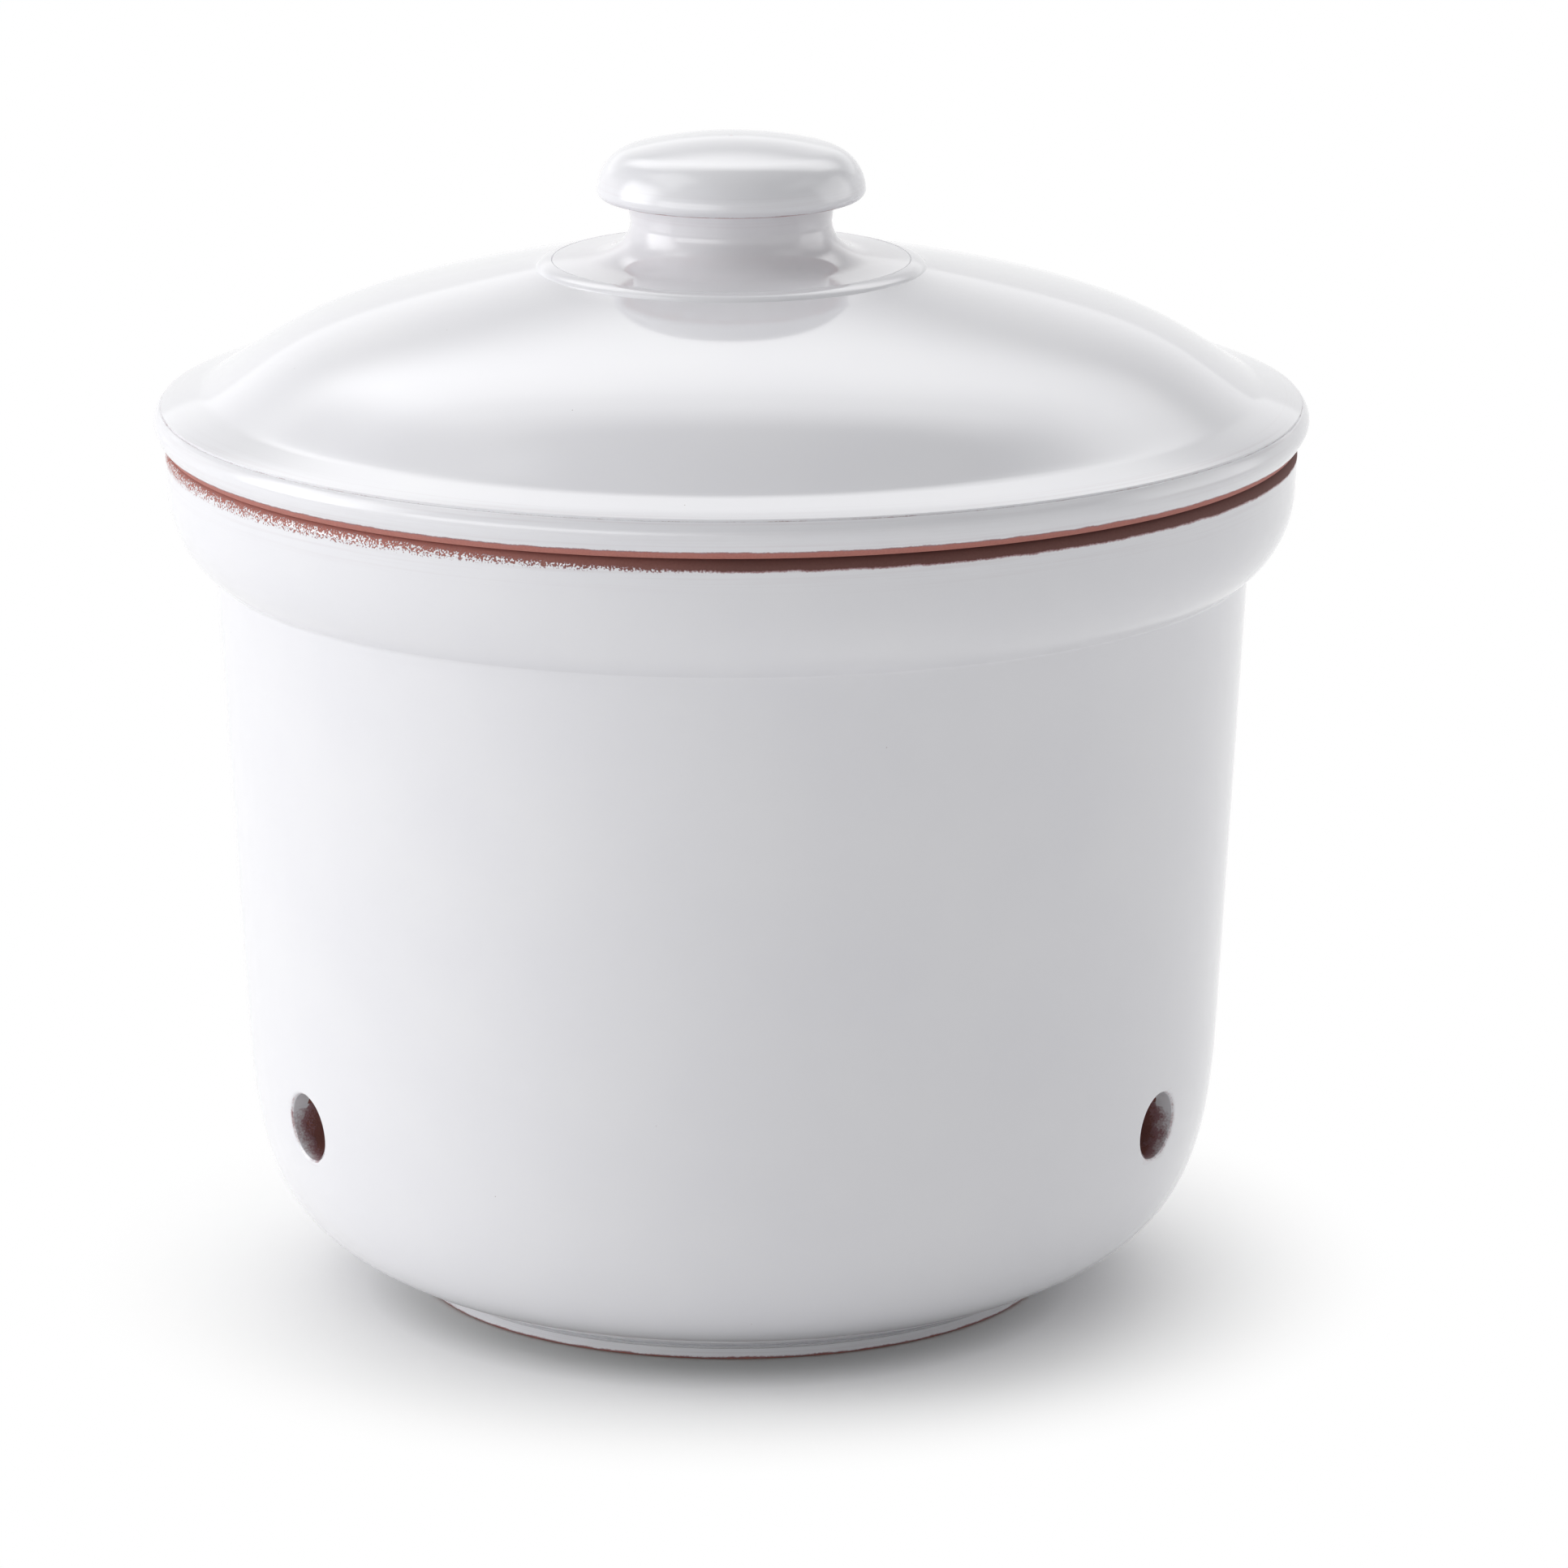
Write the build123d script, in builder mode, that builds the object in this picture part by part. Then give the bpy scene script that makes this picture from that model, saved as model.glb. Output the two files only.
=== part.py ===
from build123d import *
import os
from math import cos, radians, sin, tan

# A glazed clay storage pot with vent holes low in its wall, and a domed lid that lifts off by a mushroom knob.
# Millimetres, +Z up. The origin is the middle of the foot, on the surface that the pot stands on. The front of
# the pot faces -Y, and one of the three vents is straight behind it, at +Y.

os.makedirs("parts", exist_ok=True)

# Pot: clay thickness
wall = 8.5
floor_thickness = 9.0

# Pot: foot ring, with a thin bead where it meets the base
foot_radius = 69.6
foot_width = 7.0
foot_height = 3.4
foot_recess = 3.0
foot_rounding = 0.8
foot_bead_height = 0.7
foot_bead_step = 0.4

# Pot: sloping base, soft corner and tapered wall
base_slope = 22.2
base_run = 7.4
corner_height = 59.6
corner_wall_pull_share = 0.73
corner_base_pull_share = 0.85
wall_lean = 3.13
body_radius = 112.2
floor_flat_inset = 5.6
inside_corner_pull_share = 0.68

# Pot: collar and rim
pot_height = 187.6
collar_step = 10.0
collar_height = 27.3
collar_band = 9.1
inside_shoulder_share = 0.21
rim_flare = 0.4
rim_outer_rounding = 2.5
rim_inner_rounding = 2.0
crease_rounding = 1.2
inside_shoulder_rounding = 3.0

# Pot: vent holes
vent_count = 3
vent_radius = 7.25
vent_height = 47.0
vent_rounding = 0.9

# Lid: rounded edge that rests on the rim
lid_overhang = 2.4
lid_edge_inset = 2.7
lid_nose_height = 4.9
lid_nose_drop = 1.5
lid_edge_rounding = 0.5
bead_rise = 3.0
bead_inset = 1.25
groove_depth = 0.4
groove_width = 0.5

# Lid: flange and dome
flange_inset = 4.4
flange_width = 6.2
flange_rise = 3.5
flange_slope = 17.6
flange_rounding = 7.0
dome_rise = 26.0
dome_foot_slope = 32.7
dome_top_slope = 10.9
dome_foot_pull_share = 0.264
dome_top_pull_share = 0.716
lid_wall = 7.5

# Lid: raised boss and flared neck
boss_foot_radius = 42.2
boss_bevel = 1.4
boss_step = 2.1
boss_rounding = 0.6
boss_land = 8.8
flare_height = 7.9
waist_radius = 21.75
neck_flare = 0.75
neck_height = 5.9
neck_wall = 6.75

# Lid: locating ring that drops inside the mouth
ring_clearance = 2.5
ring_width = 6.6
ring_depth = 10.0
ring_bevel = 1.5
ring_root_lift = 5.0

# Knob: cap stuck on the neck
cap_overhang = 6.55
cap_lip_inset = 1.35
cap_lip_drop = 0.6
cap_side_height = 1.1
crown_inset = 7.05
crown_height = 9.8
crown_rise = 2.7
cap_bore_depth = 5.0
cap_bore_bevel = 2.0

# Heights and radii that follow from these
crease_height = pot_height - collar_height
band_low = pot_height - collar_band
collar_radius = body_radius + collar_step
rim_radius = collar_radius + rim_flare
mouth_radius = collar_radius - wall
lid_radius = rim_radius + lid_overhang
seat = pot_height
waist = seat + lid_nose_height + bead_rise + flange_rise + dome_rise + boss_step + flare_height
neck_top = waist + neck_height
neck_radius = waist_radius + neck_flare
neck_bore_radius = waist_radius - neck_wall

vertical_down = (0, -1)
outwards = (1, 0)


def along(start, angle, length):
    """The point that lies length away from start, at an angle in degrees above the outward direction."""
    return start + Vector(cos(radians(angle)), sin(radians(angle))) * length


def at_radius(start, angle, radius):
    """The point at this radius on the line through start that slopes down outwards by the angle."""
    return Vector(radius, start.Y - (radius - start.X) * tan(radians(angle)))


def soft_corner(wall_low, lean, base_end, slope, wall_pull_share, base_pull_share):
    """A curve from the wall's lower end round to the base, tangent to both."""
    wall_run, base_rise = tan(radians(lean)), tan(radians(slope))
    radius = wall_low.X + (base_end.Y - wall_low.Y - base_end.X * base_rise) * wall_run
    radius = radius / (1 - wall_run * base_rise)
    corner = Vector(radius, base_end.Y + (radius - base_end.X) * base_rise)
    wall_pull = wall_low + (corner - wall_low) * wall_pull_share
    base_pull = base_end + (corner - base_end) * base_pull_share
    return Bezier(wall_low, wall_pull, base_pull, base_end)


def dome(foot, top):
    """The dome's curve: steep at its foot, nearly flat at its top."""
    span = foot.X - top.X
    foot_pull = along(foot, 180 - dome_foot_slope, span * dome_foot_pull_share)
    top_pull = along(top, -dome_top_slope, span * dome_top_pull_share)
    return Bezier(foot, foot_pull, top_pull, top)


def rings_at(piece, height):
    """The round edges of a turned piece at this height, the narrowest first."""
    rings = piece.edges().filter_by(GeomType.CIRCLE)
    return rings.filter_by_position(Axis.Z, height, height, (True, True)).sort_by(SortBy.RADIUS)


# Pot
with BuildPart() as pot:
    outside_low_radius = body_radius - (crease_height - corner_height) * tan(radians(wall_lean))
    outside_wall_low = Vector(outside_low_radius, corner_height)
    foot_crease = Vector(foot_radius + foot_bead_step + foot_bead_step, foot_height)
    base_end = along(foot_crease, base_slope, base_run)
    floor_height = foot_recess + floor_thickness
    floor_edge = Vector(foot_radius - floor_flat_inset, floor_height)
    inside_wall_low = Vector(outside_low_radius - wall, corner_height)
    inside_shoulder = Vector(body_radius - wall, crease_height + collar_height * inside_shoulder_share)
    with BuildSketch(Plane.XZ) as pot_section:
        with BuildLine() as pot_outline:
            Polyline(
                (0, floor_height),
                (0, foot_recess),
                (foot_radius - foot_width, foot_recess),
                (foot_radius - foot_width, 0),
                (foot_radius, 0),
                (foot_radius, foot_height - foot_bead_height),
                (foot_radius + foot_bead_step, foot_height - foot_bead_height),
                foot_crease,
                base_end,
            )
            soft_corner(
                outside_wall_low,
                wall_lean,
                base_end,
                base_slope,
                corner_wall_pull_share,
                corner_base_pull_share,
            )
            Line(outside_wall_low, (body_radius, crease_height))
            TangentArc((collar_radius, band_low), (body_radius, crease_height), tangent=vertical_down)
            Polyline(
                (collar_radius, band_low),
                (rim_radius, pot_height),
                (mouth_radius, pot_height),
                (mouth_radius, band_low),
            )
            TangentArc((mouth_radius, band_low), inside_shoulder, tangent=vertical_down)
            Line(inside_shoulder, inside_wall_low)
            soft_corner(
                inside_wall_low,
                wall_lean,
                floor_edge,
                0,
                inside_corner_pull_share,
                inside_corner_pull_share,
            )
            Line(floor_edge, (0, floor_height))
        make_face()
    revolve(axis=Axis.Z)

    round_edges = pot.edges().filter_by(GeomType.CIRCLE).group_by(Axis.Z)
    rim_edges = round_edges[-1].sort_by(SortBy.RADIUS)
    foot_edges = round_edges[0].sort_by(SortBy.RADIUS)
    crease_edge = rings_at(pot, crease_height)
    shoulder_edge = rings_at(pot, inside_shoulder.Y)
    fillet(rim_edges[-1], rim_outer_rounding)
    fillet(rim_edges[0], rim_inner_rounding)
    chamfer(foot_edges[0], foot_rounding)
    fillet(foot_edges[-1], foot_rounding)
    fillet(crease_edge, crease_rounding)
    fillet(shoulder_edge, inside_shoulder_rounding)

    for vent in range(vent_count):
        facing = Vector(0, 1).rotate(Axis.Z, vent * 360 / vent_count)
        with BuildSketch(Plane(origin=(0, 0, vent_height), z_dir=facing)):
            Circle(vent_radius)
        extrude(amount=rim_radius, mode=Mode.SUBTRACT)
        vent_edges = pot.edges(Select.LAST).filter_by(GeomType.LINE, reverse=True)
        vent_edges = vent_edges.filter_by(lambda edge: edge.center().dot(facing) > outside_low_radius - wall / 2)
        fillet(vent_edges, vent_rounding)
pot.part.label = "pot"
export_step(pot.part, "parts/pot.step")

# Lid
with BuildPart() as lid:
    lid_nose = Vector(lid_radius, seat + lid_nose_height)
    lid_low_edge = Vector(lid_radius - lid_edge_inset, seat)
    bead_top = Vector(lid_radius - bead_inset, lid_nose.Y + bead_rise)
    groove_top = Vector(bead_top.X - groove_depth, bead_top.Y + groove_width)
    shoulder_radius = lid_radius - flange_inset
    dome_foot = Vector(shoulder_radius - flange_width, bead_top.Y + flange_rise)
    shoulder = at_radius(dome_foot, flange_slope, shoulder_radius)
    boss_foot = Vector(boss_foot_radius, dome_foot.Y + dome_rise)
    boss_radius = boss_foot_radius - boss_bevel
    boss_top = boss_foot.Y + boss_step
    flare_radius = boss_radius - boss_land
    ring_radius = mouth_radius - ring_clearance
    ring_inner_radius = ring_radius - ring_width
    ring_low = seat - ring_depth
    inside_foot = Vector(ring_inner_radius, seat + ring_root_lift)
    inside_top = Vector(boss_foot_radius - lid_wall / 2, boss_foot.Y - lid_wall)
    with BuildSketch(Plane.XZ) as lid_section:
        with BuildLine() as lid_outline:
            Bezier(lid_low_edge, (lid_radius, lid_nose.Y - lid_nose_drop), lid_nose)
            TangentArc(lid_nose, bead_top, tangent=(0, 1))
            Polyline(bead_top, (bead_top.X - groove_depth, bead_top.Y), groove_top)
            TangentArc(shoulder, groove_top, tangent=shoulder - dome_foot)
            Line(shoulder, dome_foot)
            dome(dome_foot, boss_foot)
            Polyline(boss_foot, (boss_radius, boss_top), (flare_radius, boss_top))
            EllipticalCenterArc(
                (flare_radius, waist),
                flare_radius - waist_radius,
                waist - boss_top,
                start_angle=180,
                arc_size=90,
            )
            Polyline((waist_radius, waist), (neck_radius, neck_top), (neck_bore_radius, neck_top))
            Line((neck_bore_radius, neck_top), (neck_bore_radius, waist))
            EllipticalCenterArc(
                (flare_radius, waist),
                flare_radius - neck_bore_radius,
                waist - inside_top.Y,
                start_angle=180,
                arc_size=90,
            )
            Line((flare_radius, inside_top.Y), inside_top)
            dome(inside_foot, inside_top)
            Polyline(
                inside_foot,
                (ring_inner_radius, ring_low),
                (ring_radius, ring_low),
                (ring_radius, seat),
                lid_low_edge,
            )
        make_face()
    revolve(axis=Axis.Z)

    dome_foot_edge = rings_at(lid, dome_foot.Y)
    boss_edge = rings_at(lid, boss_top)[-1]
    ring_edges = rings_at(lid, ring_low)
    lid_edge = rings_at(lid, seat)[-1]
    fillet(dome_foot_edge, flange_rounding)
    fillet(boss_edge, boss_rounding)
    chamfer(ring_edges, ring_bevel)
    fillet(lid_edge, lid_edge_rounding)
lid.part.label = "lid"
export_step(lid.part, "parts/lid.step")

# Knob
with BuildPart() as lid_knob:
    cap_side = Vector(neck_radius + cap_overhang, neck_top + cap_side_height)
    cap_lip = Vector(cap_side.X - cap_lip_inset, neck_top - cap_lip_drop)
    crown_edge = Vector(cap_side.X - crown_inset, neck_top + crown_height)
    crown_top = Vector(0, crown_edge.Y + crown_rise)
    bore_top = neck_top + cap_bore_depth
    with BuildSketch(Plane.XZ) as knob_section:
        with BuildLine() as knob_outline:
            crown = TangentArc(crown_top, crown_edge, tangent=outwards)
            TangentArc(crown_edge, cap_side, tangent=crown % 1)
            TangentArc(cap_side, cap_lip, tangent=vertical_down)
            Polyline(
                cap_lip,
                (neck_radius, neck_top),
                (neck_bore_radius, neck_top),
                (neck_bore_radius, bore_top),
                (0, bore_top),
                crown_top,
            )
        make_face()
    revolve(axis=Axis.Z)
    chamfer(rings_at(lid_knob, bore_top), cap_bore_bevel)
lid_knob.part.label = "lid_knob"
export_step(lid_knob.part, "parts/lid_knob.step")
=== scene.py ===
from collections import Counter
from math import atan2, ceil, cos, pi, radians, sin, tan

import bpy
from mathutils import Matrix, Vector
from mathutils.geometry import intersect_point_line
from mathutils.kdtree import KDTree


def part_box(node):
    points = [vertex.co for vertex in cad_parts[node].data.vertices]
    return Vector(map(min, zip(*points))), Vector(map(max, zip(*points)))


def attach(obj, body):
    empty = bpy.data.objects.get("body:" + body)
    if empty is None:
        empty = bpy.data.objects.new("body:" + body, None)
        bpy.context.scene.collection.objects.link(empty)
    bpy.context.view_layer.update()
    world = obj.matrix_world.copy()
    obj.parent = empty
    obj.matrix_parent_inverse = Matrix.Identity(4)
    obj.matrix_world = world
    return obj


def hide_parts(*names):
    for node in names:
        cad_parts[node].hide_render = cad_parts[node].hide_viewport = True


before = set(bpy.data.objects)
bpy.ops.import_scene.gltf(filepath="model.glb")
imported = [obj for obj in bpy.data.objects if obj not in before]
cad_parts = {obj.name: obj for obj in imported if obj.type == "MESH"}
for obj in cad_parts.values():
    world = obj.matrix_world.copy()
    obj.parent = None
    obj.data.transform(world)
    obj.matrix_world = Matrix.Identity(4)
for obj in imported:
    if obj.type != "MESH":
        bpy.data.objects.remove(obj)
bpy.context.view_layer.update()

# Pot. The real one is red earthenware, formed on a wheel in a plaster mould, dipped in white glaze outside
# and wiped bare on its foot and rim. Three vents are punched through the leather-hard wall. It is drawn as
# half a section, turned a third of the way round with one vent, and that third is repeated.
mm = 0.001
wall = 8.5
floor_thickness = 9.0
foot_radius = 69.6
foot_width = 7.0
foot_height = 3.4
foot_recess = 3.0
foot_rounding = 0.8
foot_bead_height = 0.7
foot_bead_step = 0.4
foot_bead_rounding = 0.25
foot_line_width = 0.25
foot_line_depth = 0.35
base_slope = radians(22.2)
base_run = 7.4
corner_height = 59.6
corner_low_pull = 0.85
corner_high_pull = 0.73
inside_corner_pull = 0.68
wall_lean = radians(3.13)
body_radius = 112.2
floor_flat_radius = 64.0
pot_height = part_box("pot")[1].z / mm
collar_radius = 122.2
collar_height = 27.3
collar_band = 9.1
inside_shoulder_height = 5.733
rim_flare = 0.4
rim_outer_rounding = 2.5
rim_inner_rounding = 2.0
crease_rounding = 1.2
inside_shoulder_rounding = 3.0
vent_count = 3
vent_radius = 7.25
vent_height = 47.0
vent_rounding = 1.0
turn_steps = 288
finest_turn = radians(10)
longest_step = 4.5
curve_step = 2.3
holding_step = 0.35
weld_reach = 0.004
sharpest_turn = radians(40)


def heading(angle):
    """The direction at this angle above the outward one, in the section."""
    return Vector((cos(angle), sin(angle)))


def bezier(a, b, c, d, share):
    """The point at this share of the curve from a to d, pulled by b and c."""
    rest = 1 - share
    return a * rest**3 + b * 3 * rest**2 * share + c * 3 * rest * share**2 + d * share**3


def pulled(start, end, start_heading, end_heading, start_share, end_share):
    """The two pulls of a curve that leaves start and reaches end along these headings, as shares of the way
    to the corner where the headings meet."""
    across = start_heading.x * end_heading.y - start_heading.y * end_heading.x
    gap = end - start
    reach = (gap.x * end_heading.y - gap.y * end_heading.x) / across
    corner = start + start_heading * reach
    return start.lerp(corner, start_share), end.lerp(corner, end_share)


def round_arc(start, start_heading, end):
    """The two pulls of the round arc that leaves start along its heading and ends at end."""
    chord = end - start
    end_heading = 2 * start_heading.dot(chord) / chord.dot(chord) * chord - start_heading
    half = start_heading.angle(chord)
    pull = chord.length / (2 * sin(half)) * 4 / 3 * tan(half / 2)
    return start + start_heading * pull, end - end_heading * pull


def section(stretches):
    """Points along half a section. Each stretch is its end, then two pulls where it is a curve, and last
    the rounding of the corner at its end where there is one. A long straight run also gets a point close to
    each of its ends, which holds its shading flat."""
    ends, pulls, roundings = [], [], []
    for stretch in stretches:
        parts = list(stretch)
        roundings.append(parts.pop() if isinstance(parts[-1], float) else 0.0)
        ends.append(Vector(parts[0]))
        pulls.append([Vector(p) for p in parts[1:]])
    knots = [(ends[0], [])]
    for i in range(1, len(ends)):
        a, b = knots[-1][0], ends[i]
        came_from = pulls[i][1] if pulls[i] else a
        if roundings[i]:
            goes_to = pulls[i + 1][0] if pulls[i + 1] else ends[i + 1]
            into, out = (b - came_from).normalized(), (goes_to - b).normalized()
            turn = into.angle(out)
            cut = roundings[i] * tan(turn / 2)
            pull = roundings[i] * 4 / 3 * tan(turn / 4)
            first, last = b - into * cut, b + out * cut
            knots.append((first, [pulls[i][0], pulls[i][1] - into * cut] if pulls[i] else []))
            knots.append((last, [first + into * pull, last - out * pull]))
        else:
            knots.append((b, pulls[i]))
    points = [knots[0][0]]
    for (a, _), (d, curve) in zip(knots, knots[1:]):
        length = (d - a).length
        if curve:
            b, c = curve
            turn = (b - a).angle(c - b, 0) + (c - b).angle(d - c, 0)
            count = max(ceil(turn / finest_turn), ceil(length / curve_step), 2)
            points += [bezier(a, b, c, d, i / count) for i in range(1, count + 1)]
        elif length > 4 * holding_step:
            along = (d - a).normalized()
            low, high = a + along * holding_step, d - along * holding_step
            count = ceil((high - low).length / longest_step)
            points += [low.lerp(high, i / count) for i in range(count + 1)] + [d]
        else:
            points.append(d)
    return points


def turned(name, points, turn, steps, first=0.0):
    """A section drawn point by point and turned about the Z axis, counterclockwise from the angle first."""
    bpy.ops.object.select_all(action="DESELECT")
    bpy.ops.mesh.primitive_plane_add(size=mm, enter_editmode=True)
    piece = bpy.context.object
    piece.name = piece.data.name = name
    bpy.ops.mesh.merge(type="CENTER")
    places = [Vector((p.x * cos(first), p.x * sin(first), p.y)) * mm for p in points]
    bpy.ops.transform.translate(value=places[0])
    for a, b in zip(places, places[1:]):
        bpy.ops.mesh.extrude_region_move(TRANSFORM_OT_translate={"value": b - a})
    bpy.ops.mesh.select_all(action="SELECT")
    bpy.ops.mesh.spin(steps=steps, angle=turn, center=(0, 0, 0), axis=(0, 0, -1))
    bpy.ops.object.mode_set(mode="OBJECT")
    return piece


def third_repeated(piece):
    """Copies a third of a turned piece twice round the Z axis, so that it closes into the whole."""
    chosen(piece, "VERT", lambda v: True)
    bpy.ops.mesh.spin(steps=2, angle=radians(240), center=(0, 0, 0), axis=(0, 0, 1), dupli=True)
    bpy.ops.object.mode_set(mode="OBJECT")


def chosen(piece, kind, wanted):
    """Selects only the vertices, edges or faces of a piece that the test accepts, and stays in edit mode."""
    bpy.ops.object.select_all(action="DESELECT")
    piece.select_set(True)
    bpy.context.view_layer.objects.active = piece
    bpy.ops.object.mode_set(mode="EDIT")
    bpy.ops.mesh.select_mode(type="VERT")
    bpy.ops.mesh.select_all(action="DESELECT")
    bpy.ops.mesh.select_mode(type=kind)
    bpy.ops.object.mode_set(mode="OBJECT")
    mesh = piece.data
    part = {"VERT": mesh.vertices, "EDGE": mesh.edges, "FACE": mesh.polygons}[kind]
    for one in part:
        one.select = wanted(one)
    bpy.ops.object.mode_set(mode="EDIT")


def finished(piece, body, node):
    """Closes seams and poles, turns the faces outwards, smooths the piece and puts it in its node's place."""
    chosen(piece, "VERT", lambda v: True)
    bpy.ops.mesh.remove_doubles(threshold=weld_reach * mm)
    bpy.ops.mesh.normals_make_consistent(inside=False)
    bpy.ops.object.mode_set(mode="OBJECT")
    bpy.ops.object.shade_smooth_by_angle(angle=sharpest_turn)
    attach(piece, body)
    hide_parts(node)


crease_height = pot_height - collar_height
band_low = pot_height - collar_band
mouth_radius = collar_radius - wall
rim_radius = collar_radius + rim_flare
floor_height = foot_recess + floor_thickness
low_radius = body_radius - (crease_height - corner_height) * tan(wall_lean)
wall_down = heading(-pi / 2 - wall_lean)
base_out = heading(base_slope)

foot_side_top = Vector((foot_radius, foot_height - foot_bead_height))
foot_crease = Vector((foot_radius + 2 * foot_bead_step, foot_height))
base_end = foot_crease + base_out * base_run
wall_low = Vector((low_radius, corner_height))
crease = Vector((body_radius, crease_height))
band = Vector((collar_radius, band_low))
mouth_low = Vector((mouth_radius, band_low))
inside_shoulder = Vector((body_radius - wall, crease_height + inside_shoulder_height))
inside_low = Vector((low_radius - wall, corner_height))
floor_edge = Vector((floor_flat_radius, floor_height))
corner_pulls = pulled(base_end, wall_low, base_out, wall_down, corner_low_pull, corner_high_pull)
inside_pulls = pulled(
    inside_low,
    floor_edge,
    wall_down,
    heading(0),
    inside_corner_pull,
    inside_corner_pull,
)
collar_pulls = round_arc(band, heading(-pi / 2), crease)
inside_collar_pulls = round_arc(mouth_low, heading(-pi / 2), inside_shoulder)

pot_outside = section([
    ((0, foot_recess),),
    ((foot_radius - foot_width, foot_recess), foot_rounding),
    ((foot_radius - foot_width, 0), foot_rounding),
    ((foot_radius, 0), foot_rounding),
    (foot_side_top - Vector((0, foot_line_width)),),
    (foot_side_top - Vector((foot_line_depth, foot_line_width / 2)),),
    (foot_side_top,),
    (foot_side_top + Vector((foot_bead_step, 0)), foot_bead_rounding / 2),
    (foot_crease - Vector((0, foot_line_width)),),
    (foot_crease - Vector((foot_line_depth, foot_line_width / 2)),),
    (foot_crease,),
    (base_end,),
    (wall_low, *corner_pulls),
    (crease, crease_rounding),
    (band, *reversed(collar_pulls)),
    ((rim_radius, pot_height), rim_outer_rounding),
    ((rim_radius - rim_outer_rounding - mm, pot_height),),
])
pot_inside = section([
    ((rim_radius - rim_outer_rounding - mm, pot_height),),
    ((mouth_radius, pot_height), rim_inner_rounding),
    (mouth_low,),
    (inside_shoulder, *inside_collar_pulls, inside_shoulder_rounding),
    (inside_low,),
    (floor_edge, *inside_pulls),
    ((0, floor_height),),
])

# The vent stands in the middle of the third, on the Y axis. Its window in each face of the wall is filled
# again by rows that run from the square of the window to the round of the vent. A gauge, which is a finely
# turned strip of the same face, presses these rows back onto the true wall.
sector = radians(360 / vent_count)
first_angle = radians(90) - sector / 2
pot_section = pot_outside + pot_inside[1:]
pot = turned("pot_body", pot_section, sector, turn_steps // vent_count, first_angle)
window_steps = 6
window_angle = window_steps * sector / (turn_steps / vent_count)
window_reach = 13.4
window_rows = 4
window_margin = 1.15
vent_sides = 44
vent_depth_rows = 14
vent_edge_steps = {"outside": 5, "inside": 3}
vent_edge_reach = vent_rounding / 5
gauge_angle = radians(20)
gauge_steps = 160
between_faces = low_radius - wall * 2 / 3


def near_vent(place, share=1.0):
    """Whether a place lies within the window round the vent, or within one that is larger by this share."""
    inside_angle = abs(atan2(place.x, place.y)) < window_angle * share
    return inside_angle and abs(place.z / mm - vent_height) < window_reach * share


def from_axis(place):
    """How far a place is from the pot's axis, in millimetres."""
    return place.xy.length / mm


def from_vent_axis(place):
    """How far a place is from the vent's axis, in millimetres."""
    return Vector((place.x, place.z - vent_height * mm)).length / mm


def on_side(place, side):
    """Whether a place lies on the outside of the wall, or on its inside."""
    return (from_axis(place) > between_faces) == (side == "outside")


def open_edges(piece, wanted):
    """Selects the edges that carry one face or none and whose two ends pass the test."""
    uses = Counter(key for face in piece.data.polygons for key in face.edge_keys)
    places = [v.co.copy() for v in piece.data.vertices]
    chosen(
        piece,
        "EDGE",
        lambda e: uses[tuple(sorted(e.vertices))] < 2 and all(wanted(places[v]) for v in e.vertices),
    )


for side, outline, reach in (("outside", pot_outside, low_radius), ("inside", pot_inside, low_radius - wall)):
    gauge = turned("gauge", outline, gauge_angle, gauge_steps, radians(90) - gauge_angle / 2)
    chosen(pot, "FACE", lambda f: near_vent(f.center) and on_side(f.center, side))
    bpy.ops.mesh.delete(type="FACE")
    bpy.ops.object.mode_set(mode="OBJECT")
    open_edges(pot, lambda place: near_vent(place, window_margin) and on_side(place, side))
    bpy.ops.mesh.primitive_circle_add(
        vertices=vent_sides,
        radius=vent_radius * mm,
        location=(0, reach * mm, vent_height * mm),
        rotation=(pi / 2, 0, 0),
    )
    bpy.ops.object.mode_set(mode="OBJECT")
    open_edges(pot, lambda place: near_vent(place, window_margin) and on_side(place, side))
    bpy.ops.mesh.bridge_edge_loops(number_cuts=window_rows)
    bpy.ops.object.mode_set(mode="OBJECT")
    patch = pot.vertex_groups.new(name=side)
    patched = [
        v.index for v in pot.data.vertices if near_vent(v.co, window_margin) and on_side(v.co, side)
    ]
    patch.add(patched, 1, "REPLACE")
    press = pot.modifiers.new("press", "SHRINKWRAP")
    press.target = gauge
    press.wrap_method = "PROJECT"
    press.use_project_y = True
    press.use_negative_direction = True
    press.vertex_group = side
    bpy.context.view_layer.objects.active = pot
    bpy.ops.object.modifier_apply(modifier="press")
    bpy.data.objects.remove(gauge)

open_edges(pot, lambda place: near_vent(place) and from_vent_axis(place) < vent_radius + vent_rounding)
bpy.ops.mesh.bridge_edge_loops(number_cuts=vent_depth_rows)
bpy.ops.object.mode_set(mode="OBJECT")


def radius_at(outline, height):
    """The widest radius at which an outline crosses this height."""
    crossings = [
        a.x + (b.x - a.x) * (height - a.y) / (b.y - a.y)
        for a, b in zip(outline, outline[1:])
        if a.y != b.y and min(a.y, b.y) <= height <= max(a.y, b.y)
    ]
    return max(crossings)


for side, outline, rounding in (
    ("outside", pot_outside, vent_rounding),
    ("inside", pot_inside, vent_rounding / 2),
):
    places = [v.co.copy() for v in pot.data.vertices]
    on_edge = [
        near_vent(place)
        and abs(from_vent_axis(place) - vent_radius) < vent_edge_reach
        and abs(radius_at(outline, place.z / mm) - from_axis(place)) < vent_edge_reach
        for place in places
    ]
    chosen(pot, "EDGE", lambda e: all(on_edge[v] for v in e.vertices))
    bpy.ops.mesh.bevel(offset=rounding * mm, segments=vent_edge_steps[side], affect="EDGES")
    bpy.ops.object.mode_set(mode="OBJECT")

third_repeated(pot)
finished(pot, "pot", "pot")


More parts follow.
